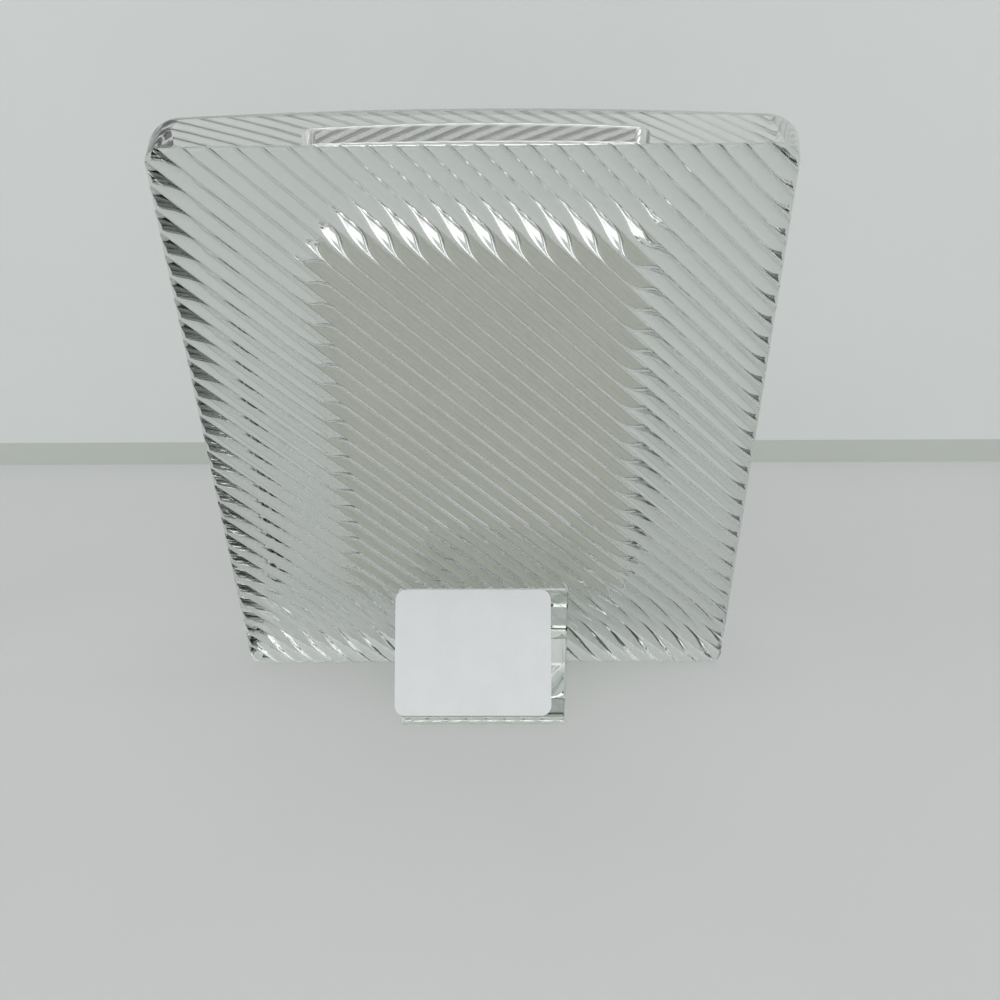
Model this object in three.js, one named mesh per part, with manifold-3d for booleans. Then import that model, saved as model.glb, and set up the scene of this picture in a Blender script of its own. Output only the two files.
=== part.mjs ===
// A small pressed-glass picture frame. A clear glass body with diagonal ribs on its back leans on a
// glass wedge foot bonded behind it. Its front recess holds a backing pad, a print and a clear cover.
// Millimetres, +Z up, the picture faces -Y and the ribs and the foot face +Y.
import * as THREE from 'three';
import { mergeVertices } from 'three/addons/utils/BufferGeometryUtils.js';
import Module from 'manifold-3d';

const wasm = await Module();
wasm.setup();

const degrees = THREE.MathUtils.degToRad;

// Stance and clearance
const lean = degrees(11.25); // the back from upright
const seatGap = 0.3; // between pieces that rest on each other

// Glass body, measured on its back before the lean
const backWidth = 101.6;
const backHeight = 119.2;
const sideThickness = 13.5;
const middleThickness = 16.4; // the front is bowed from side to side
const sideDraft = degrees(11.25); // the body widens toward the front
const topDraft = degrees(1.5);
const topCornerBack = 2.8;
const topCornerFront = 6.5;
const bottomCornerBack = 1.5;
const bottomCornerFront = 4.5;
const frontRounding = 4; // front edge of all four sides
const backRounding = 0.9; // the fire-polish rounds the ends of the ribs
const leastCorner = 0.5;

// Ribs across the whole back, each an arc, rising toward +X
const ribPitch = 2.93;
const ribRadius = 1.52;
const ribRise = degrees(45);
const ribFacets = 6;

// Recess for the picture, open to the front
const pictureWidth = 57.15;
const pictureHeight = 82.55;
const pictureFit = 0.4; // clearance on each side
const recessSill = 15.8; // up the back from its bottom edge
const glassBehindPicture = 7.5;
const recessCorner = 2.5;
const recessFillet = 1.6; // round the floor
const recessRim = 1.4; // rounding where the walls meet the front
const recessDraft = degrees(0.5);

// Flat pieces in the recess, from the back to the front; the first rests on the floor's fillet
const backingThickness = 5.2;
const printThickness = 0.3;
const coverThickness = 1;

// Wedge foot, held to the ribs by an adhesive that fills them over the foot's upper part
const footWidth = 32.8; // at the toe
const footDraft = degrees(4); // the sides spread toward the back
const footHeight = 23.5; // up the back
const footReach = 20.5; // along the table, from the back's bottom edge
const footToe = 2.2;
const bondThickness = 0.1; // over the rib crests
const bondGap = 0.1; // between the adhesive and the glass on either side
const bondStart = 8; // up the back
const bondInset = 0.3; // short of the foot's edges

// Sticker on the foot's slope
const labelWidth = 31.75;
const labelHeight = 25.4;
const labelThickness = 0.12;
const labelCorner = 2;
const labelRise = 0.2; // above the toe's edge
const labelShift = 2.06; // off the foot's middle
const labelGap = 0.1;

// Fineness of the outlines
const cornerSteps = 6;
const roundingSteps = 5;
const backSteps = 3;
const columns = 14;
const overlap = 2; // how far a cutting shape runs past what it cuts

// Solids for cutting, from closed meshes
function toSolid(geometry) {
  const bare = geometry.clone();
  bare.deleteAttribute('normal');
  bare.deleteAttribute('uv');
  const merged = mergeVertices(bare, 1e-4);
  return new wasm.Manifold(new wasm.Mesh({
    numProp: 3,
    vertProperties: new Float32Array(merged.attributes.position.array),
    triVerts: new Uint32Array(merged.index.array),
  }));
}

function toGeometry(solid) {
  const mesh = solid.getMesh();
  const geometry = new THREE.BufferGeometry();
  geometry.setAttribute('position', new THREE.BufferAttribute(mesh.vertProperties, 3));
  geometry.setIndex(new THREE.BufferAttribute(mesh.triVerts, 1));
  geometry.computeVertexNormals();
  return geometry;
}

// Half of a rounded rectangle from -x to +x: x, and how far each point falls short of the straight edge
function halfOutline(halfWidth, radius) {
  const points = [];
  for (let i = 0; i <= cornerSteps; i++) {
    const angle = (i / cornerSteps) * Math.PI / 2;
    points.push([radius * (1 - Math.cos(angle)) - halfWidth, radius * (1 - Math.sin(angle))]);
  }
  for (let i = 1; i < columns; i++) {
    points.push([(halfWidth - radius) * (2 * i / columns - 1), 0]);
  }
  const mirrored = points.slice(0, cornerSteps + 1).map(([x, short]) => [-x, short]).reverse();
  return points.concat(mirrored);
}

// One level of a loft: the upper and lower halves of its outline
function loftLevel({ halfWidth, topRadius, bottomRadius, depthAt, topAt, bottomAt }) {
  const place = (x, z) => new THREE.Vector3(x, -depthAt(x), z);
  return {
    upper: halfOutline(halfWidth, topRadius).map(([x, short]) => place(x, topAt(x) - short)),
    lower: halfOutline(halfWidth, bottomRadius).map(([x, short]) => place(x, bottomAt(x) + short)),
  };
}

// Closed body through levels that run from the back to the front
function loftGeometry(levels) {
  const half = levels[0].upper.length;
  const around = 2 * half;
  const points = levels.flatMap(({ upper, lower }) => [...upper, ...[...lower].reverse()]);
  const faces = [];
  for (let level = 0; level < levels.length - 1; level++) {
    for (let i = 0; i < around; i++) {
      const a = level * around + i;
      const b = level * around + (i + 1) % around;
      faces.push(a, b + around, b, a, a + around, b + around);
    }
  }
  const last = (levels.length - 1) * around;
  for (let i = 0; i < half - 1; i++) {
    const opposite = around - 1 - i;
    faces.push(i, i + 1, opposite - 1, i, opposite - 1, opposite);
    faces.push(last + i, last + opposite - 1, last + i + 1, last + i, last + opposite, last + opposite - 1);
  }
  const geometry = new THREE.BufferGeometry().setFromPoints(points);
  geometry.setIndex(faces);
  return geometry;
}

// Glass thickness at x: bowed across the back's width
function thicknessAt(x) {
  const share = Math.min(1, Math.abs(x) / (backWidth / 2));
  return sideThickness + (middleThickness - sideThickness) * (1 - share * share);
}

// Outer shape of the glass body: a rounded back edge, then drafted sides that round over into the bowed front
function bodyLevel(depthAt, inset) {
  const sideDepth = depthAt(backWidth / 2);
  const along = sideDepth / sideThickness;
  const radius = (back, front) => Math.max(leastCorner, THREE.MathUtils.lerp(back, front, along) - inset);
  return loftLevel({
    halfWidth: backWidth / 2 + sideDepth * Math.tan(sideDraft) - inset,
    topRadius: radius(topCornerBack, topCornerFront),
    bottomRadius: radius(bottomCornerBack, bottomCornerFront),
    depthAt,
    topAt: (x) => backHeight + depthAt(x) * Math.tan(topDraft) - inset,
    bottomAt: (x) => inset - depthAt(x) * Math.tan(lean),
  });
}

function bodyOutline() {
  const levels = [bodyLevel(() => -overlap, backRounding)];
  for (let i = 0; i <= backSteps; i++) {
    const angle = (i / backSteps) * Math.PI / 2;
    const depth = backRounding * (1 - Math.cos(angle));
    levels.push(bodyLevel(() => depth, backRounding * (1 - Math.sin(angle))));
  }
  for (let i = 0; i <= roundingSteps; i++) {
    const angle = (i / roundingSteps) * Math.PI / 2;
    const behindFront = frontRounding * (1 - Math.sin(angle));
    levels.push(bodyLevel((x) => thicknessAt(x) - behindFront, frontRounding * (1 - Math.cos(angle))));
  }
  return toSolid(loftGeometry(levels));
}

// Block with the ribs on its back, or with a surface that stands off the ribs by a gap.
// One crest line passes through the middle of the back, and each valley is sharp.
function ribbedStock(gap) {
  const reach = Math.hypot(backWidth, backHeight) / 2 + middleThickness;
  const ribsEachWay = Math.ceil(reach / ribPitch);
  const radius = ribRadius + gap;
  const halfAngle = Math.asin(ribPitch / 2 / radius);
  const edge = (ribsEachWay + 0.5) * ribPitch;
  const profile = new THREE.Shape();
  profile.moveTo(-edge, radius * Math.cos(halfAngle) - ribRadius);
  for (let rib = -ribsEachWay; rib <= ribsEachWay; rib++) {
    for (let facet = 1; facet <= ribFacets; facet++) {
      const angle = halfAngle * (2 * facet / ribFacets - 1);
      profile.lineTo(rib * ribPitch + radius * Math.sin(angle), radius * Math.cos(angle) - ribRadius);
    }
  }
  profile.lineTo(edge, -middleThickness - overlap);
  profile.lineTo(-edge, -middleThickness - overlap);
  const geometry = new THREE.ExtrudeGeometry(profile, { depth: 2 * edge, bevelEnabled: false });
  geometry.translate(0, 0, -edge);
  const across = new THREE.Vector3(-Math.sin(ribRise), 0, Math.cos(ribRise));
  const outward = new THREE.Vector3(0, 1, 0);
  const along = new THREE.Vector3().crossVectors(across, outward);
  geometry.applyMatrix4(new THREE.Matrix4().makeBasis(across, outward, along));
  geometry.translate(0, 0, backHeight / 2);
  return toSolid(geometry);
}

// Picture recess: a rounded floor fillet, drafted walls, then a rounded rim that follows the bowed front
const recessHalfWidth = pictureWidth / 2 + pictureFit;
const recessHeight = pictureHeight + 2 * pictureFit;

function recessLevel(depthAt, flare) {
  const spread = (depthAt(0) - glassBehindPicture) * Math.tan(recessDraft) + flare;
  const radius = Math.max(leastCorner, recessCorner + spread);
  return loftLevel({
    halfWidth: recessHalfWidth + spread,
    topRadius: radius,
    bottomRadius: radius,
    depthAt,
    topAt: () => recessSill + recessHeight + spread,
    bottomAt: () => recessSill - spread,
  });
}

function recessCut() {
  const levels = [];
  for (let i = 0; i <= roundingSteps; i++) {
    const angle = (i / roundingSteps) * Math.PI / 2;
    const depth = glassBehindPicture + recessFillet * (1 - Math.cos(angle));
    levels.push(recessLevel(() => depth, -recessFillet * (1 - Math.sin(angle))));
  }
  for (let i = 0; i <= roundingSteps; i++) {
    const angle = (i / roundingSteps) * Math.PI / 2;
    const behindFront = recessRim * (1 - Math.sin(angle));
    levels.push(recessLevel((x) => thicknessAt(x) - behindFront, recessRim * (1 - Math.cos(angle))));
  }
  levels.push(recessLevel((x) => thicknessAt(x) + overlap, recessRim));
  return toSolid(loftGeometry(levels));
}

function glassBodyGeometry() {
  const ribbed = bodyOutline().intersect(ribbedStock(0));
  return toGeometry(ribbed.subtract(recessCut()));
}

// Rectangle with rounded corners, in x and height, centred on x and standing on 0
function roundedSheet(width, height, corner) {
  const sheet = new THREE.Shape();
  const side = width / 2;
  sheet.absarc(side - corner, corner, corner, -Math.PI / 2, 0);
  sheet.absarc(side - corner, height - corner, corner, 0, Math.PI / 2);
  sheet.absarc(corner - side, height - corner, corner, Math.PI / 2, Math.PI);
  sheet.absarc(corner - side, corner, corner, Math.PI, 1.5 * Math.PI);
  return sheet;
}

// Upright plate whose back face lies at y = 0 and whose thickness runs toward -Y
function plateGeometry(width, height, corner, thickness) {
  const settings = { depth: thickness, bevelEnabled: false, curveSegments: cornerSteps };
  const geometry = new THREE.ExtrudeGeometry(roundedSheet(width, height, corner), settings);
  return geometry.rotateX(Math.PI / 2);
}

// Plate in the recess, at a depth behind the back's rib crests
function recessPlate(name, depth, thickness, material) {
  const geometry = plateGeometry(pictureWidth, pictureHeight, recessCorner, thickness);
  const plate = named(name, geometry, material);
  plate.position.set(0, -depth, recessSill + pictureFit);
  return plate;
}

// A point given up the back and outward from it, in the frame that stands on the table
function onTable(upBack, outward) {
  return new THREE.Vector2(
    upBack * Math.sin(lean) + outward * Math.cos(lean),
    upBack * Math.cos(lean) - outward * Math.sin(lean),
  );
}

// Foot profile in y and z: level underside, low toe, slope up to a thin upper edge
const footFace = bondGap + bondThickness + bondGap;
const footTip = onTable(footHeight, footFace);
const toeEdge = new THREE.Vector2(footReach, footToe);

function footHalfWidth(y) {
  return footWidth / 2 + (footReach - y) * Math.tan(footDraft);
}

function footGeometry() {
  const heel = new THREE.Vector2(footFace / Math.cos(lean), 0);
  const profile = new THREE.Shape([heel, new THREE.Vector2(footReach, 0), toeEdge, footTip]);
  const geometry = new THREE.ExtrudeGeometry(profile, { depth: footWidth, bevelEnabled: false });
  geometry.translate(0, 0, -footWidth / 2);
  const axes = [new THREE.Vector3(0, 1, 0), new THREE.Vector3(0, 0, 1), new THREE.Vector3(1, 0, 0)];
  geometry.applyMatrix4(new THREE.Matrix4().makeBasis(...axes));
  const points = geometry.attributes.position;
  for (let i = 0; i < points.count; i++) {
    points.setX(i, Math.sign(points.getX(i)) * footHalfWidth(points.getY(i)));
  }
  return geometry;
}

// Adhesive: flat against the foot, and following the ribs on the other side
function bondGeometry() {
  const height = footHeight - bondInset - bondStart;
  const width = 2 * (footHalfWidth(footTip.x) - bondInset);
  const block = new THREE.BoxGeometry(width, 2 * overlap, height);
  block.translate(0, bondGap + bondThickness - overlap, bondStart + height / 2);
  return toGeometry(toSolid(block).subtract(ribbedStock(bondGap)));
}

// Sticker, laid on the slope from just above the toe
function labelMesh(material) {
  const slope = footTip.clone().sub(toeEdge);
  const sticker = plateGeometry(labelWidth, labelHeight, labelCorner, labelThickness);
  sticker.translate(labelShift, labelGap + labelThickness, labelRise);
  const label = named('price_label', sticker, material);
  label.position.set(0, toeEdge.x, toeEdge.y);
  label.rotation.x = Math.atan2(-slope.x, slope.y);
  return label;
}

function named(name, geometry, material) {
  const mesh = new THREE.Mesh(geometry, material);
  mesh.name = name;
  return mesh;
}

function finish(color, roughness) {
  return new THREE.MeshStandardMaterial({ color, roughness, metalness: 0 });
}

// Assembly
const filletReach = recessFillet - pictureFit + seatGap / 2;
const filletRest = recessFillet - Math.sqrt(recessFillet ** 2 - filletReach ** 2);
const backingDepth = glassBehindPicture + filletRest;
const printDepth = backingDepth + backingThickness + seatGap;
const coverDepth = printDepth + printThickness + seatGap;

const leaning = new THREE.Group();
leaning.rotation.x = -lean;
leaning.add(named('glass_body', glassBodyGeometry(), finish(0xc3ccc6, 0.05)));
leaning.add(recessPlate('backing_pad', backingDepth, backingThickness, finish(0x949a92, 0.85)));
leaning.add(recessPlate('picture_print', printDepth, printThickness, finish(0xd9dad6, 0.35)));
leaning.add(recessPlate('cover_pane', coverDepth, coverThickness, finish(0xdde5e1, 0.05)));
leaning.add(named('foot_bond', bondGeometry(), finish(0xd5dcd6, 0.2)));

const frame = new THREE.Group();
frame.add(leaning);
frame.add(named('easel_foot', footGeometry(), finish(0xc3ccc6, 0.05)));
frame.add(labelMesh(finish(0xeeeff0, 0.6)));

// The origin lies under the middle of the whole frame
const extent = new THREE.Box3().setFromObject(frame, true);
frame.position.y = -extent.getCenter(new THREE.Vector3()).y;

export default frame;
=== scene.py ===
import math

import bmesh
import bpy
from mathutils import Matrix, Vector


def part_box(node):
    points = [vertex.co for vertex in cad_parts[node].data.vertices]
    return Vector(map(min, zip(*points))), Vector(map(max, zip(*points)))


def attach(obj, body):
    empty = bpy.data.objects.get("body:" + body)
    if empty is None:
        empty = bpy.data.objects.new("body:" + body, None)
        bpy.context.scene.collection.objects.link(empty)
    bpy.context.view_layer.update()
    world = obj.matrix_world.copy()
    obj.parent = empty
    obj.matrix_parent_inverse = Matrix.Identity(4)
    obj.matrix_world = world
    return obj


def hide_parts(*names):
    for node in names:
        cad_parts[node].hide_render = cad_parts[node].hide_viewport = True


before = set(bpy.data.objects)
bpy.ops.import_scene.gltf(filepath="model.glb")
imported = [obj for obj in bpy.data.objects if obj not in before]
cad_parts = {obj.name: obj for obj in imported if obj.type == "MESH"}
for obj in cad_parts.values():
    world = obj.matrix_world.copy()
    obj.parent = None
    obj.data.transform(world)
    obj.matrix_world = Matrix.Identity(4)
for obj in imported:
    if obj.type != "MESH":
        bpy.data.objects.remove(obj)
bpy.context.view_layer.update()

mm = 0.001
stance = {
    "lean": math.radians(11.25),  # the back from upright
    "footReach": 20.5,  # along the table, from the back's bottom edge
}
# Sizes are in millimetres, in a frame that stands upright on the back's bottom edge with y out of the back.
# standUp leans a finished piece back and puts that edge where the CAD has it.
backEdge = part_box("easel_foot")[1].y - stance["footReach"] * mm
print("frame loaded, back edge at", round(backEdge / mm, 3), "mm")


# Working in the viewport's way

def pick(piece):
    if bpy.context.mode != "OBJECT":
        bpy.ops.object.mode_set(mode="OBJECT")
    bpy.ops.object.select_all(action="DESELECT")
    piece.select_set(True)
    bpy.context.view_layer.objects.active = piece


def edit(piece, kind="VERT"):
    pick(piece)
    bpy.ops.object.mode_set(mode="EDIT")
    bpy.ops.mesh.select_mode(type=kind)


def choose(piece, kind, test):
    # Selects only the vertices, edges or faces that pass the test, by their place or normal
    bpy.ops.mesh.select_mode(type={"verts": "VERT", "edges": "EDGE", "faces": "FACE"}[kind])
    bpy.ops.mesh.select_all(action="DESELECT")
    shape = bmesh.from_edit_mesh(piece.data)
    for part in getattr(shape, kind):
        if test(part):
            part.select_set(True)
    shape.select_flush_mode()
    bmesh.update_edit_mesh(piece.data)


def cutBy(place, normal, dropOuter=False, fill=False):
    # Bisects all of the mesh in edit mode
    bpy.ops.mesh.select_all(action="SELECT")
    bpy.ops.mesh.bisect(
        plane_co=place, plane_no=normal, use_fill=fill, clear_outer=dropOuter, threshold=1e-8
    )


def combine(piece, other, operation):
    # Boolean of two closed pieces; the second is used up
    pick(piece)
    change = piece.modifiers.new(operation.lower(), "BOOLEAN")
    change.operation = operation
    change.object = other
    change.solver = "MANIFOLD"
    bpy.ops.object.modifier_apply(modifier=change.name)
    bpy.data.objects.remove(other)


def applyPlace():
    bpy.ops.object.transform_apply(location=True, rotation=True, scale=True)


def outward():
    bpy.ops.mesh.select_all(action="SELECT")
    bpy.ops.mesh.normals_make_consistent(inside=False)


def standUp(piece):
    pick(piece)
    piece.rotation_euler.x = -stance["lean"]
    piece.location.y = backEdge
    applyPlace()


def settle(piece, name, body, node, smoothAngle):
    pick(piece)
    bpy.ops.object.shade_smooth_by_angle(angle=math.radians(smoothAngle))
    flats = piece.modifiers.new("flats", "WEIGHTED_NORMAL")
    flats.mode = "FACE_AREA"
    flats.weight = 100  # the flats stay flat beside their rounded edges
    flats.keep_sharp = True
    bpy.ops.object.modifier_apply(modifier=flats.name)
    piece.name = name
    piece.data.name = name
    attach(piece, body)
    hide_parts(node)
    print(name, "done,", len(piece.data.polygons), "faces")


def addSection(halfWidth, low, high, depth, topRadius, bottomRadius, steps):
    # One outline of a loft: a rounded rectangle in x and z, this deep behind the back
    bpy.ops.mesh.primitive_plane_add(
        size=1, location=(0, -depth * mm, (low + high) / 2 * mm), rotation=(math.pi / 2, 0, 0)
    )
    section = bpy.context.object
    section.scale = (2 * halfWidth * mm, (high - low) * mm, 1)
    pick(section)
    applyPlace()
    edit(section)
    middle = (low + high) / 2 * mm
    for radius, upper in ((topRadius, True), (bottomRadius, False)):
        choose(section, "verts", lambda v: (v.co.z > middle) == upper)
        bpy.ops.mesh.bevel(offset=radius * mm, segments=steps, affect="VERTICES", profile=0.5)
    bpy.ops.mesh.select_all(action="SELECT")
    bpy.ops.mesh.delete(type="ONLY_FACE")
    bpy.ops.object.mode_set(mode="OBJECT")
    return section


def loft(sections, depths):
    # Bridges the sections one after another and closes both ends
    pick(sections[0])
    for section in sections[1:]:
        section.select_set(True)
    bpy.ops.object.join()
    shape = bpy.context.object
    edit(shape, "EDGE")

    def ringAt(edge, depth):
        return all(abs(v.co.y + depth * mm) < 1e-8 for v in edge.verts)

    for near, far in zip(depths, depths[1:]):
        choose(shape, "edges", lambda e: ringAt(e, near) or ringAt(e, far))
        bpy.ops.mesh.bridge_edge_loops()
    for end in (depths[0], depths[-1]):
        choose(shape, "edges", lambda e: ringAt(e, end))
        bpy.ops.mesh.edge_face_add()
    outward()
    return shape


# Glass body

glassBody = {
    "backWidth": 101.6,
    "backHeight": 119.2,
    "sideThickness": 13.5,
    "middleThickness": 16.4,  # the front is bowed from side to side
    "sideDraft": math.radians(11.25),
    "topDraft": math.radians(1.5),
    "topCorner": (2.8, 6.5),  # at the back, at the front
    "bottomCorner": (1.5, 4.5),
    "leastCorner": 0.5,  # what an inset leaves of a corner
    "frontRounding": 4.0,
    "backRounding": 0.9,  # the fire-polish rounds the ends of the ribs
    "roundingSteps": 10,
    "backSteps": 6,
    "cornerSteps": 12,
    "columns": 40,  # straight strips that the bow is made of
    "overlap": 2.0,  # how far a cutting shape stands out of what it cuts
}


def bowFall(x):
    # How far the front lies behind its middle, this far to the side
    share = min(1, abs(x) / (glassBody["backWidth"] / 2 * mm))
    return (glassBody["middleThickness"] - glassBody["sideThickness"]) * share * share * mm


def cutColumns():
    # Upright cuts across all of the mesh in edit mode, so that it can follow the bow
    reach, columns = glassBody["backWidth"] / 2 * mm, glassBody["columns"]
    for column in range(1 - columns, columns, 2):
        cutBy((column / columns * reach, 0, 0), (1, 0, 0))


def bodyStock(size):
    thick, side = size["middleThickness"], size["sideThickness"]

    def section(depth, sideDepth, inset):
        along = sideDepth / side

        def corner(pair):
            return max(size["leastCorner"], pair[0] + (pair[1] - pair[0]) * along - inset)

        halfWidth = size["backWidth"] / 2 + sideDepth * math.tan(size["sideDraft"]) - inset
        low = inset - depth * math.tan(stance["lean"])
        high = size["backHeight"] + depth * math.tan(size["topDraft"]) - inset
        corners = corner(size["topCorner"]), corner(size["bottomCorner"])
        return depth, addSection(halfWidth, low, high, depth, *corners, size["cornerSteps"])

    made = [section(-size["overlap"], -size["overlap"], size["backRounding"])]
    for step in range(size["backSteps"] + 1):
        angle = step / size["backSteps"] * math.pi / 2
        depth = size["backRounding"] * (1 - math.cos(angle))
        made.append(section(depth, depth, size["backRounding"] * (1 - math.sin(angle))))
    for step in range(size["roundingSteps"] + 1):
        angle = step / size["roundingSteps"] * math.pi / 2
        behindFront = size["frontRounding"] * (1 - math.sin(angle))
        inset = size["frontRounding"] * (1 - math.cos(angle))
        made.append(section(thick - behindFront, side - behindFront, inset))
    shape = loft([piece for _, piece in made], [depth for depth, _ in made])
    cutColumns()
    # The bow: toward the sides the front falls back, along the drafts of the top and the underside
    points = bmesh.from_edit_mesh(shape.data)
    for point in points.verts:
        if -point.co.y < side / 2 * mm:
            continue
        fall = bowFall(point.co.x)
        upper = point.co.z > size["backHeight"] / 2 * mm
        point.co.y += fall
        point.co.z += -fall * math.tan(size["topDraft"]) if upper else fall * math.tan(stance["lean"])
    bmesh.update_edit_mesh(shape.data)
    bpy.ops.object.mode_set(mode="OBJECT")
    return shape


# Ribs across the back: arcs side by side, one crest through the middle, rising toward +X
ribs = {
    "pitch": 2.93,
    "radius": 1.52,
    "rise": math.radians(45),
    "valley": 1.2,  # nothing of a rib lies deeper than this
    "around": 72,  # points on a whole circle
    "eachWay": 33,  # ribs on each side of the middle one
    "base": 18.4,  # depth of the block that they stand on, past the front
}
facesBack = 0.3  # a face of a rib has at least this much of its normal out of the back


def ribStock(size):
    half, count = size["pitch"] / 2 * mm, 2 * size["eachWay"] + 1
    bpy.ops.mesh.primitive_circle_add(
        vertices=size["around"], radius=size["radius"] * mm,
        location=(0, -size["radius"] * mm, 0), rotation=(0, 0, 0),
    )
    stock = bpy.context.object
    applyPlace()
    edit(stock)
    cutBy((half, 0, 0), (1, 0, 0), dropOuter=True)
    cutBy((-half, 0, 0), (-1, 0, 0), dropOuter=True)
    choose(stock, "verts", lambda v: v.co.y < -size["radius"] * mm)
    bpy.ops.mesh.delete(type="VERT")
    bpy.ops.object.mode_set(mode="OBJECT")
    row = stock.modifiers.new("row", "ARRAY")
    row.count = count
    row.use_relative_offset = False
    row.use_constant_offset = True
    row.constant_offset_displace = (size["pitch"] * mm, 0, 0)
    row.use_merge_vertices = True
    row.merge_threshold = 1e-6
    bpy.ops.object.modifier_apply(modifier=row.name)
    # The row of arcs is drawn out to a base, then along the ribs
    edit(stock, "EDGE")
    bpy.ops.mesh.select_all(action="SELECT")
    bpy.ops.mesh.extrude_region_move(TRANSFORM_OT_translate={"value": (0, -size["base"] * mm, 0)})
    bpy.ops.transform.resize(value=(1, 0, 1), center_override=(0, -size["base"] * mm, 0))
    bpy.ops.mesh.select_all(action="SELECT")
    length = count * size["pitch"] * mm
    bpy.ops.mesh.extrude_region_move(TRANSFORM_OT_translate={"value": (0, 0, length)})
    outward()
    bpy.ops.object.mode_set(mode="OBJECT")
    stock.location = (-size["eachWay"] * size["pitch"] * mm, 0, -length / 2)
    applyPlace()
    stock.rotation_euler.y = size["rise"]
    stock.location.z = glassBody["backHeight"] / 2 * mm
    applyPlace()
    return stock


# Recess for the picture, open to the front: a fillet round its floor, and a rounded rim at the front
recess = {
    "width": 57.95,
    "height": 83.35,
    "sill": 15.8,  # of its lower edge, up the back
    "glassBehind": 7.5,
    "corner": 2.5,
    "fillet": 1.6,
    "filletSteps": 9,
    "rim": 1.4,
    "rimSteps": 8,
    "rimEnd": 0.02,  # the rim's arc ends this far in the glass and not on its surface
    "cornerSteps": 10,
    "draft": math.radians(0.5),
    "past": 0.1,  # just past the end of the fillet, or of the floor
}


def recessStock(size):
    def section(depth, flare):
        spread = (depth - size["glassBehind"]) * math.tan(size["draft"]) + flare
        corner = max(glassBody["leastCorner"], size["corner"] + spread)
        low, high = size["sill"] - spread, size["sill"] + size["height"] + spread
        piece = addSection(
            size["width"] / 2 + spread, low, high, depth, corner, corner, size["cornerSteps"]
        )
        return depth, piece

    made = []
    for step in range(size["filletSteps"] + 1):
        angle = step / size["filletSteps"] * math.pi / 2
        depth = size["glassBehind"] + size["fillet"] * (1 - math.cos(angle))
        made.append(section(depth, -size["fillet"] * (1 - math.sin(angle))))
    front = glassBody["middleThickness"] - size["rimEnd"]
    for step in range(size["rimSteps"] + 1):
        angle = step / size["rimSteps"] * math.pi / 2
        flare = size["rim"] * (1 - math.cos(angle))
        made.append(section(front - size["rim"] * (1 - math.sin(angle)), flare))
    made.append(section(front + glassBody["overlap"], size["rim"]))
    shape = loft([piece for _, piece in made], [depth for depth, _ in made])
    cutColumns()
    # The rim follows the bowed front
    points = bmesh.from_edit_mesh(shape.data)
    floorEnd = (size["glassBehind"] + size["fillet"] + size["past"]) * mm
    for point in points.verts:
        if -point.co.y > floorEnd:
            point.co.y += bowFall(point.co.x)
    bmesh.update_edit_mesh(shape.data)
    bpy.ops.object.mode_set(mode="OBJECT")
    return shape


# The adhesive behind the upper part of the foot fills the ribs there
bond = {
    "halfWidth": 17.15,
    "low": 8.0,
    "high": 22.8,
    "face": 0.3,  # out from the rib crests, where the foot begins
    "deep": 2.0,
}


def inBond(place):
    upBack = place.z / mm
    return abs(place.x) < bond["halfWidth"] * mm and bond["low"] < upBack < bond["high"]


def onRib(place, normal):
    return place.y > -ribs["valley"] * mm and normal.y > facesBack


# The pressed walls of the recess and its rim, apart from the floor and the flat front
aroundRecess = {
    "halfWidth": 35.0,
    "low": 10.0,
    "high": 105.0,
    "flatFront": -0.98,  # a face of the front has less than this of its normal out of the back
}


def onRecessSide(place, normal):
    inside = abs(place.x) < aroundRecess["halfWidth"] * mm
    upright = aroundRecess["low"] * mm < place.z < aroundRecess["high"] * mm
    deep = place.y < -(recess["glassBehind"] - recess["past"]) * mm
    return inside and upright and deep and normal.y > aroundRecess["flatFront"]


stock = ribStock(ribs)
print("rib stock has", len(stock.data.polygons), "faces")
pick(stock)
bpy.ops.object.duplicate()
ribsForBond = bpy.context.object
body = bodyStock(glassBody)
print("outline has", len(body.data.polygons), "faces")
combine(body, stock, "INTERSECT")
combine(body, recessStock(recess), "DIFFERENCE")

# Where the adhesive holds, glass meets glass with nothing to see between them
edit(body, "FACE")
for place, normal in (
    ((bond["halfWidth"] * mm, 0, 0), (1, 0, 0)),
    ((-bond["halfWidth"] * mm, 0, 0), (1, 0, 0)),
    ((0, 0, bond["low"] * mm), (0, 0, 1)),
    ((0, 0, bond["high"] * mm), (0, 0, 1)),
):
    choose(body, "faces", lambda f: onRib(f.calc_center_median(), f.normal))
    bpy.ops.mesh.bisect(plane_co=place, plane_no=normal, threshold=1e-8)
bpy.ops.object.mode_set(mode="OBJECT")
bodyBondFaces = [
    face.index for face in body.data.polygons
    if onRib(face.center, face.normal) and inBond(face.center)
]
recessSides = [
    face.index for face in body.data.polygons if onRecessSide(face.center, face.normal)
]
print("glass body cut,", len(bodyBondFaces), "faces under the adhesive,", len(recessSides), "in the recess")


# Adhesive

def bondPiece(size):
    low, high = size["low"], size["high"]
    bpy.ops.mesh.primitive_cube_add(
        size=1, location=(0, (size["face"] - size["deep"] / 2) * mm, (low + high) / 2 * mm)
    )
    piece = bpy.context.object
    piece.scale = (2 * size["halfWidth"] * mm, size["deep"] * mm, (high - low) * mm)
    pick(piece)
    applyPlace()
    combine(piece, ribsForBond, "DIFFERENCE")
    return piece


adhesive = bondPiece(bond)


# Wedge foot

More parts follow.
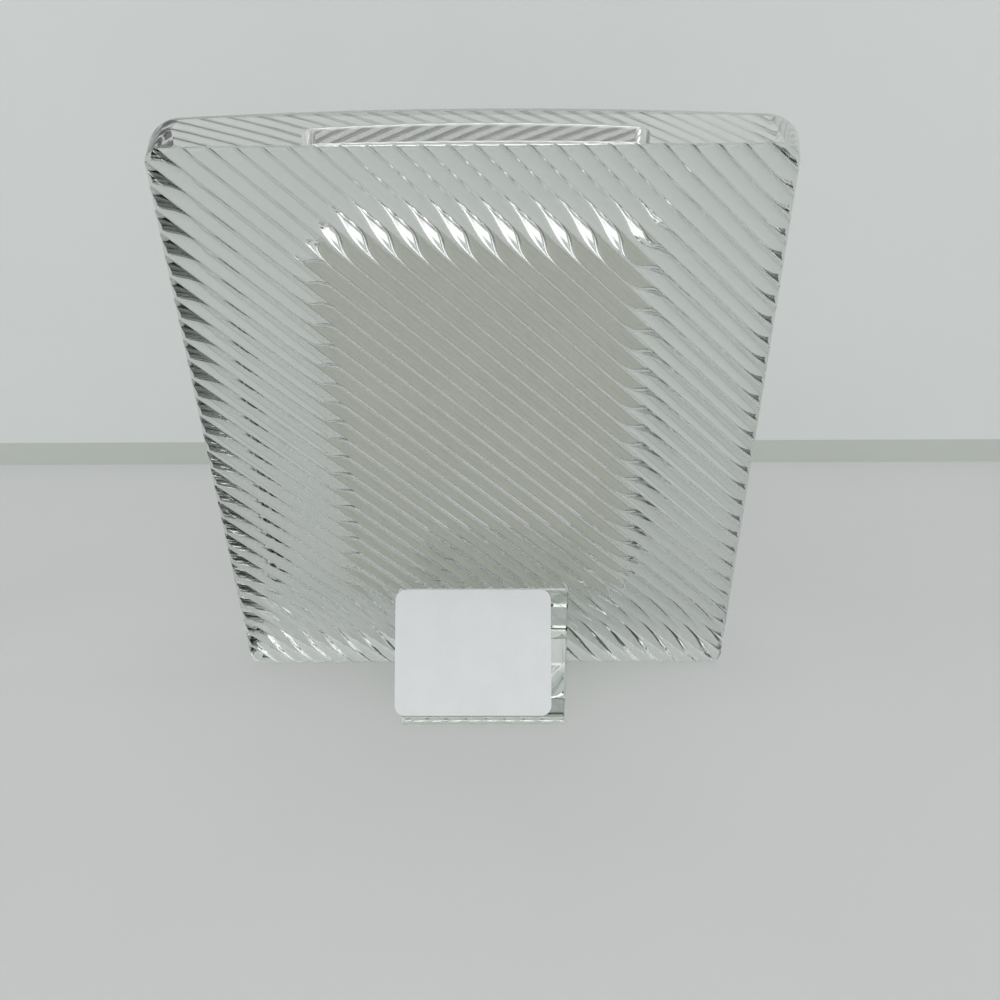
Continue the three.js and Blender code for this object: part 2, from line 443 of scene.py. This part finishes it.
foot = {
    "width": 32.8,  # at the toe
    "draft": math.radians(4),  # the sides spread toward the back
    "height": 23.5,  # up the back
    "reach": stance["footReach"],
    "toe": 2.2,
    "edge": 0.35,  # rounding of every edge
    "edgeSteps": 4,
    "edgeAngle": 0.2,  # radians between two faces, above which they meet in an edge
    "sameWay": 0.999,  # two normals with this product face the same way
}
upBack = Vector((0, math.sin(stance["lean"]), math.cos(stance["lean"])))
outOfBack = Vector((0, math.cos(stance["lean"]), -math.sin(stance["lean"])))
footTip = upBack * foot["height"] + outOfBack * bond["face"]
toeEdge = Vector((0, foot["reach"], foot["toe"]))
slope = (footTip - toeEdge).normalized()
outOfSlope = Vector((0, slope.z, -slope.y))


def footPiece(size):
    # Built as it stands on the table, measured from the back's bottom edge
    tall = footTip.z
    heelWidth = size["width"] + 2 * size["reach"] * math.tan(size["draft"])
    bpy.ops.mesh.primitive_cube_add(size=1, location=(0, size["reach"] / 2 * mm, tall / 2 * mm))
    piece = bpy.context.object
    piece.scale = (heelWidth * mm, size["reach"] * mm, tall * mm)
    pick(piece)
    applyPlace()
    edit(piece, "FACE")
    cutBy(outOfBack * bond["face"] * mm, -outOfBack, dropOuter=True, fill=True)
    cutBy(toeEdge * mm, outOfSlope, dropOuter=True, fill=True)
    for side in (1, -1):
        toeSide = Vector((side * size["width"] / 2, size["reach"], 0)) * mm
        outOfSide = (side * math.cos(size["draft"]), math.sin(size["draft"]), 0)
        cutBy(toeSide, outOfSide, dropOuter=True, fill=True)
    bpy.ops.mesh.select_all(action="SELECT")
    bpy.ops.mesh.remove_doubles(threshold=1e-6)
    outward()
    choose(piece, "edges", lambda e: len(e.link_faces) == 2 and e.calc_face_angle() > size["edgeAngle"])
    bpy.ops.mesh.bevel(offset=size["edge"] * mm, segments=size["edgeSteps"], affect="EDGES", profile=0.5)
    # The flat that the adhesive touches is marked off
    for place, normal in (
        (Vector((bond["halfWidth"] * mm, 0, 0)), (1, 0, 0)),
        (Vector((-bond["halfWidth"] * mm, 0, 0)), (1, 0, 0)),
        (upBack * bond["low"] * mm, upBack),
        (upBack * bond["high"] * mm, upBack),
    ):
        choose(piece, "faces", lambda f: f.normal.dot(-outOfBack) > size["sameWay"])
        bpy.ops.mesh.bisect(plane_co=place, plane_no=normal, threshold=1e-8)
    bpy.ops.object.mode_set(mode="OBJECT")
    return piece


wedge = footPiece(foot)
footBondFaces = [
    face.index for face in wedge.data.polygons
    if face.normal.dot(-outOfBack) > foot["sameWay"]
    and inBond(Vector((face.center.x, 0, face.center.dot(upBack))))
]
print("foot shaped,", len(footBondFaces), "faces under the adhesive")


# Flat pieces

def plate(size, thickness, edge):
    # Rounded sheet in x and z that stands on 0, its back at y = 0 and its thickness toward -Y
    width, height, corner, steps = size["width"], size["height"], size["corner"], size["cornerSteps"]
    bpy.ops.mesh.primitive_plane_add(
        size=1, location=(0, 0, height / 2 * mm), rotation=(math.pi / 2, 0, 0)
    )
    piece = bpy.context.object
    piece.scale = (width * mm, height * mm, 1)
    pick(piece)
    applyPlace()
    edit(piece)
    bpy.ops.mesh.select_all(action="SELECT")
    bpy.ops.mesh.bevel(offset=corner * mm, segments=steps, affect="VERTICES", profile=0.5)
    bpy.ops.mesh.select_all(action="SELECT")
    bpy.ops.mesh.extrude_region_move(TRANSFORM_OT_translate={"value": (0, -thickness * mm, 0)})
    outward()
    # The edges round both faces, and none of those across the thickness
    choose(piece, "edges", lambda e: abs(e.verts[0].co.y - e.verts[1].co.y) < 1e-7)
    bpy.ops.mesh.bevel(offset=edge * mm, segments=2, affect="EDGES", profile=0.5)
    bpy.ops.object.mode_set(mode="OBJECT")
    return piece


def moveTo(piece, place):
    pick(piece)
    piece.location = place
    applyPlace()


# What the recess holds, each sheet's depth being that of its back
picture = {
    "width": 57.15,
    "height": 82.55,
    "corner": 2.5,
    "cornerSteps": 6,
    "rise": 16.2,  # of its lower edge, up the back
    "pad": {"depth": 8.25, "thickness": 5.7, "edge": 0.2},
    "print": {"depth": 14.0, "thickness": 0.3, "edge": 0.03},
    "pane": {"depth": 14.35, "thickness": 1.0, "edge": 0.12},
}


def recessPiece(depth, thickness, edge):
    piece = plate(picture, thickness, edge)
    moveTo(piece, (0, -depth * mm, picture["rise"] * mm))
    return piece


pad = recessPiece(**picture["pad"])
photoPrint = recessPiece(**picture["print"])
pane = recessPiece(**picture["pane"])

sticker = {
    "width": 31.75,
    "height": 25.4,
    "corner": 2.0,
    "cornerSteps": 8,
    "thickness": 0.12,
    "edge": 0.02,
    "rise": 0.2,  # above the toe's edge
    "shift": 2.06,  # off the foot's middle
    "gap": 0.03,  # off the foot's slope
}


def stickerPiece(size):
    piece = plate(size, size["thickness"], size["edge"])
    moveTo(piece, (size["shift"] * mm, (size["gap"] + size["thickness"]) * mm, size["rise"] * mm))
    piece.rotation_euler.x = math.atan2(-slope.y, slope.z)
    moveTo(piece, (0, toeEdge.y * mm, toeEdge.z * mm))
    return piece


label = stickerPiece(sticker)
print("flat pieces done")


# Materials

def linear(code):
    # sRGB hex to linear
    parts = [int(code[i:i + 2], 16) / 255 for i in (1, 3, 5)]
    return tuple(c / 12.92 if c <= 0.04045 else ((c + 0.055) / 1.055) ** 2.4 for c in parts) + (1,)


def addNode(tree, kind, settings=None, **links):
    # Adds a node, sets its properties and values, and links sockets: name=(node, output)
    node = tree.nodes.new("ShaderNode" + kind)
    for name, value in (settings or {}).items():
        if name[0] == "i" and name[1:].isdigit():
            node.inputs[int(name[1:])].default_value = value
        elif name in node.inputs:
            node.inputs[name].default_value = value
        else:
            setattr(node, name, value)
    for name, (source, output) in links.items():
        socket = node.inputs[int(name[1:])] if name[0] == "i" and name[1:].isdigit() else node.inputs[name]
        tree.links.new(source.outputs[output], socket)
    return node


def newMaterial(name):
    made = bpy.data.materials.new(name)
    made.use_nodes = True
    tree = made.node_tree
    tree.nodes.clear()
    return made, tree, addNode(tree, "TexCoord"), addNode(tree, "OutputMaterial")


def perMm(size):
    # Noise scale for features about this many millimetres across
    return 1 / (size * mm)


# Pressed soda-lime glass, fire-polished: the faint green shows where the light runs long in the glass,
# and the polish leaves soft ripples some millimetres apart with a fine orange-peel between them.
def pressedGlass(name, tint, rippleMm, rippleDepthMm, roughLow, roughHigh):
    made, tree, coord, out = newMaterial(name)
    ripple = addNode(tree, "TexNoise", {"Scale": perMm(rippleMm), "Detail": 1.0, "Roughness": 0.4},
                     Vector=(coord, "Object"))
    peel = addNode(tree, "TexNoise", {"Scale": perMm(0.9), "Detail": 1.0}, Vector=(coord, "Object"))
    slow = addNode(tree, "Bump", {"Strength": 1.0, "Distance": rippleDepthMm * mm},
                   Height=(ripple, "Fac"))
    fine = addNode(tree, "Bump", {"Strength": 0.3, "Distance": 0.0015 * mm},
                   Height=(peel, "Fac"), Normal=(slow, "Normal"))
    haze = addNode(tree, "TexNoise", {"Scale": perMm(14), "Detail": 3.0}, Vector=(coord, "Object"))
    rough = addNode(tree, "MapRange", {"From Min": 0.35, "From Max": 0.75,
                                       "To Min": roughLow, "To Max": roughHigh}, Value=(haze, "Fac"))
    tone = addNode(tree, "ValToRGB", Fac=(haze, "Fac"))
    tone.color_ramp.elements[0].color = linear(tint[0])
    tone.color_ramp.elements[1].color = linear(tint[1])
    glass = addNode(tree, "BsdfPrincipled", {"Transmission Weight": 1.0, "IOR": 1.5},
                    **{"Base Color": (tone, "Color"), "Roughness": (rough, "Result"),
                       "Normal": (fine, "Normal")})
    # Light reaches what lies under and behind the glass, as it does through a clear block, and a ray that
    # has been sent back and forth inside many times gets out
    path = addNode(tree, "LightPath")
    either = addNode(tree, "Math", {"operation": "MAXIMUM"},
                     i0=(path, "Is Shadow Ray"), i1=(path, "Is Diffuse Ray"))
    late = addNode(tree, "Math", {"operation": "GREATER_THAN", "i1": 7.5}, i0=(path, "Ray Depth"))
    clear = addNode(tree, "Math", {"operation": "MAXIMUM"}, i0=(either, "Value"), i1=(late, "Value"))
    through = addNode(tree, "BsdfTransparent", {"Color": linear("#fbfcfb")})
    mixed = addNode(tree, "MixShader", i0=(clear, "Value"), i1=(glass, "BSDF"), i2=(through, "BSDF"))
    tree.links.new(mixed.outputs[0], out.inputs["Surface"])
    return made


bodyGlass = pressedGlass("fire polished pressed glass", ("#e8ebe8", "#eef1ee"), 7.0, 0.004, 0.0, 0.02)
# The plunger that presses the recess leaves its walls a little less bright than the fire-polished outside
recessGlass = pressedGlass("satin of the plunger", ("#e8ebe8", "#eef1ee"), 1.1, 0.003, 0.04, 0.1)
# Ground flat and polished on every face, the foot is clearer and stiller than the body
footGlass = pressedGlass("ground and polished glass", ("#fafdfb", "#fdfffe"), 9.0, 0.003, 0.0, 0.03)
# Drawn glass: colourless in this thickness, with long, shallow waves
paneGlass = pressedGlass("flat drawn glass", ("#f5fbf7", "#fbfefc"), 22.0, 0.003, 0.0, 0.01)
# Cured adhesive: clear, with the small lumps of a squeezed-out edge
adhesiveEdge = pressedGlass("clear cured adhesive", ("#f6f8f4", "#fcfdfb"), 1.6, 0.01, 0.04, 0.12)

# Two glasses with cured adhesive between them: nothing shows at the joint but a trace of tint
wetted, tree, coord, out = newMaterial("wetted joint")
trace = addNode(tree, "TexNoise", {"Scale": perMm(4)}, Vector=(coord, "Object"))
traceTone = addNode(tree, "ValToRGB", Fac=(trace, "Fac"))
traceTone.color_ramp.elements[0].color = linear("#f8faf8")
traceTone.color_ramp.elements[1].color = linear("#ffffff")
clear = addNode(tree, "BsdfTransparent", Color=(traceTone, "Color"))
tree.links.new(clear.outputs[0], out.inputs["Surface"])


# The cut edge of the cover is ground, so it is whitish and scatters light instead of showing what lies behind
groundEdge, tree, coord, out = newMaterial("ground glass edge")
pits = addNode(tree, "TexNoise", {"Scale": perMm(0.12), "Detail": 3.0}, Vector=(coord, "Object"))
pitTone = addNode(tree, "ValToRGB", Fac=(pits, "Fac"))
pitTone.color_ramp.elements[0].color = linear("#d3d8d3")
pitTone.color_ramp.elements[1].color = linear("#dde1dd")
pitHeight = addNode(tree, "Bump", {"Strength": 0.5, "Distance": 0.01 * mm}, Height=(pits, "Fac"))
ground = addNode(tree, "BsdfPrincipled", {"Roughness": 0.6, "Specular IOR Level": 0.4},
                 **{"Base Color": (pitTone, "Color"), "Normal": (pitHeight, "Normal")})
tree.links.new(ground.outputs[0], out.inputs["Surface"])


# Paper and board: fibres in colour and height, and a gloss that varies a little with them
def paperLike(name, light, dark, fibreMm, depthMm, roughLow, roughHigh, stretch=1.0, sheen=0.0):
    made, tree, coord, out = newMaterial(name)
    grain = addNode(tree, "Mapping", Vector=(coord, "Object"))
    grain.inputs["Scale"].default_value = (stretch, 1, 1)
    fibre = addNode(tree, "TexNoise", {"Scale": perMm(fibreMm), "Detail": 5.0, "Roughness": 0.62},
                    Vector=(grain, "Vector"))
    cloud = addNode(tree, "TexNoise", {"Scale": perMm(fibreMm * 16), "Detail": 2.0},
                    Vector=(coord, "Object"))
    both = addNode(tree, "Mix", {"data_type": "FLOAT", "Factor": 0.45},
                   A=(fibre, "Fac"), B=(cloud, "Fac"))
    tone = addNode(tree, "ValToRGB", Fac=(both, "Result"))
    tone.color_ramp.elements[0].position = 0.3
    tone.color_ramp.elements[0].color = linear(dark)
    tone.color_ramp.elements[1].position = 0.7
    tone.color_ramp.elements[1].color = linear(light)
    rough = addNode(tree, "MapRange", {"To Min": roughLow, "To Max": roughHigh}, Value=(fibre, "Fac"))
    tooth = addNode(tree, "Bump", {"Strength": 0.6, "Distance": depthMm * mm}, Height=(fibre, "Fac"))
    paper = addNode(tree, "BsdfPrincipled", {"Specular IOR Level": 0.45, "Coat Weight": sheen},
                    **{"Base Color": (tone, "Color"), "Roughness": (rough, "Result"),
                       "Normal": (tooth, "Normal")})
    tree.links.new(paper.outputs[0], out.inputs["Surface"])
    return made


# Coated paper: smooth and slightly cool, with a soft sheen. Pulp board: coarse, short fibres and no gloss,
# its edges painted much darker than its faces as painted shade, so that its lit top edge shows grey through
# the glass. Photo paper: even, with a satin coat.
stickerPaper = paperLike("coated sticker paper", "#dcdedf", "#d3d6d7", 0.35, 0.006, 0.42, 0.58)
greyBoard = paperLike("grey pulp board", "#d4d3cc", "#cac9c2", 0.5, 0.02, 0.75, 0.95, stretch=0.4)
shadedBoardEdge = paperLike("pulp board edge painted dark as shade", "#5c605b", "#525650", 0.3, 0.03, 0.8, 0.98, stretch=0.4)
satinPaper = paperLike("satin photo paper", "#b6b8b3", "#adafaa", 0.25, 0.004, 0.28, 0.4, sheen=0.2)


def dress(piece, *materials):
    piece.data.materials.clear()
    for one in materials:
        piece.data.materials.append(one)


def dressFaces(piece, indices, slot):
    for index in indices:
        piece.data.polygons[index].material_index = slot


def edgeFaces(piece):
    # Those that face more to the side than to the front or back
    return [face.index for face in piece.data.polygons if abs(face.normal.y) <= 0.5]


dress(body, bodyGlass, wetted, recessGlass)
dressFaces(body, bodyBondFaces, 1)
dressFaces(body, recessSides, 2)
dress(wedge, footGlass, wetted)
dressFaces(wedge, footBondFaces, 1)
dress(adhesive, adhesiveEdge, wetted)
dressFaces(adhesive, [face.index for face in adhesive.data.polygons if abs(face.normal.y) > facesBack], 1)
# The pad's edges take the dark board colour: painted shade, not a colour of the board
dress(pad, greyBoard, shadedBoardEdge)
dressFaces(pad, edgeFaces(pad), 1)
dress(photoPrint, satinPaper)
dress(pane, paneGlass, groundEdge)
dressFaces(pane, edgeFaces(pane), 1)
dress(label, stickerPaper)
print("materials done")

for piece in (body, adhesive, pad, photoPrint, pane):
    standUp(piece)
for piece in (wedge, label):
    moveTo(piece, (0, backEdge, 0))

settle(body, "glassBody", "frame", "glass_body", 28)
settle(adhesive, "footAdhesive", "frame", "foot_bond", 28)
settle(wedge, "easelFoot", "frame", "easel_foot", 24)
settle(label, "priceSticker", "frame", "price_label", 30)
# Light for the pad behind the foot passes these two thin sheets
for sheet in (adhesive, label):
    sheet.visible_shadow = False
    sheet.visible_diffuse = False
settle(pad, "backingPad", "backing", "backing_pad", 30)
settle(photoPrint, "picturePrint", "print", "picture_print", 30)
settle(pane, "coverPane", "cover", "cover_pane", 30)


# Table, wall and light

# In millimetres, but the lights in metres and watts
room = {
    "wall": 92.0,  # from the back's bottom edge to the wall
    "wallHeight": 200.0,
    # A darker strip along the foot of the wall: painted shade of the crease where the wall meets the table
    "shadeStrip": 7.0,
    "shadeStripDepth": 0.3,
    "span": 900.0,
    "airGap": 0.02,  # under the glass, which never quite touches the paint
    "key": {"place": (0, 0.6, 1.3), "aim": (0, 0, 0.05), "size": (2.2, 1.6), "power": 17},
    "rim": {"place": (0, -0.45, 0.55), "aim": (0, 0, 0.1), "size": (1.2, 0.5), "power": 1.5},
    "sky": ("#f6f6f6", 0.5),
}


def painted(name, light, dark, oneSided=False):
    # Matt paint with the faint cloudiness and tooth of a rolled coat. One-sided, it doesn't hide the frame
    # from behind.
    made, tree, coord, out = newMaterial(name)
    cloud = addNode(tree, "TexNoise", {"Scale": perMm(60), "Detail": 3.0}, Vector=(coord, "Object"))
    tone = addNode(tree, "ValToRGB", Fac=(cloud, "Fac"))
    tone.color_ramp.elements[0].color = linear(dark)
    tone.color_ramp.elements[1].color = linear(light)
    tooth = addNode(tree, "TexNoise", {"Scale": perMm(0.8), "Detail": 3.0}, Vector=(coord, "Object"))
    bump = addNode(tree, "Bump", {"Strength": 0.15, "Distance": 0.02 * mm}, Height=(tooth, "Fac"))
    paint = addNode(tree, "BsdfPrincipled", {"Roughness": 0.7, "Specular IOR Level": 0.2},
                    **{"Base Color": (tone, "Color"), "Normal": (bump, "Normal")})
    if oneSided:
        side = addNode(tree, "NewGeometry")
        gone = addNode(tree, "BsdfTransparent")
        mixed = addNode(tree, "MixShader", i0=(side, "Backfacing"), i1=(paint, "BSDF"), i2=(gone, "BSDF"))
        tree.links.new(mixed.outputs[0], out.inputs["Surface"])
    else:
        tree.links.new(paint.outputs[0], out.inputs["Surface"])
    return made


def panel(name, place, size, turn, material):
    bpy.ops.mesh.primitive_plane_add(size=1, location=place, rotation=turn)
    made = bpy.context.object
    made.name = name
    made.scale = (size[0], size[1], 1)
    pick(made)
    applyPlace()
    dress(made, material)


wallY = backEdge - room["wall"] * mm
span = room["span"] * mm
towardPlus = (-math.pi / 2, 0, 0)  # turns a plane to face +Y
panel("table", (0, span / 2, -room["airGap"] * mm), (2 * span, 3 * span), (0, 0, 0),
      painted("table paint", "#c3c5c4", "#bec0bf"))
panel("wall", (0, wallY, room["wallHeight"] / 2 * mm), (2 * span, room["wallHeight"] * mm), towardPlus,
      painted("wall paint", "#e6e9e8", "#e1e4e3", oneSided=True))
# Darker paint on a strip just in front of the wall's foot, as painted shade of the crease with the table
panel("shadeStrip", (0, wallY + room["shadeStripDepth"] * mm, room["shadeStrip"] / 2 * mm),
      (2 * span, room["shadeStrip"] * mm), towardPlus,
      painted("painted shade at the wall's foot", "#ccd1cb", "#c6cbc5", oneSided=True))

for name in ("key", "rim"):
    lamp = room[name]
    bpy.ops.object.light_add(type="AREA", location=lamp["place"])
    light = bpy.context.object
    light.name = name
    light.data.shape = "RECTANGLE"
    light.data.size, light.data.size_y = lamp["size"]
    light.data.energy = lamp["power"]
    direction = Vector(lamp["aim"]) - Vector(lamp["place"])
    light.rotation_euler = direction.to_track_quat("-Z", "Y").to_euler()

world = bpy.data.worlds.new("soft room light")
bpy.context.scene.world = world
world.use_nodes = True
sky = world.node_tree.nodes["Background"]
sky.inputs["Color"].default_value = linear(room["sky"][0])
sky.inputs["Strength"].default_value = room["sky"][1]

# Camera

camera = {
    "lens": 44.1,
    "sensor": 36,
    "near": 0.01,
    "place": (-6.54, 212.99, 163.94),  # from the back's bottom edge
    "down": math.radians(30.004),
    "turn": math.radians(-0.798),
    "roll": math.radians(0.589),
}
bpy.ops.object.camera_add()
eye = bpy.context.object
eye.data.lens = camera["lens"]
eye.data.sensor_fit = "HORIZONTAL"
eye.data.sensor_width = camera["sensor"]
eye.data.clip_start = camera["near"]
cosDown, sinDown = math.cos(camera["down"]), math.sin(camera["down"])
cosTurn, sinTurn = math.cos(camera["turn"]), math.sin(camera["turn"])
ahead = Vector((-sinTurn * cosDown, -cosTurn * cosDown, -sinDown))
right = Vector((-cosTurn, sinTurn, 0))
below = ahead.cross(right)
tilted = math.cos(camera["roll"]) * right + math.sin(camera["roll"]) * below
under = -math.sin(camera["roll"]) * right + math.cos(camera["roll"]) * below
turned = Matrix((tilted, -under, -ahead)).transposed().to_4x4()
x, y, z = camera["place"]
eye.matrix_world = Matrix.Translation((x * mm, y * mm + backEdge, z * mm)) @ turned
bpy.context.scene.camera = eye
bpy.context.scene.view_settings.view_transform = "Standard"
print("room, light and camera done")
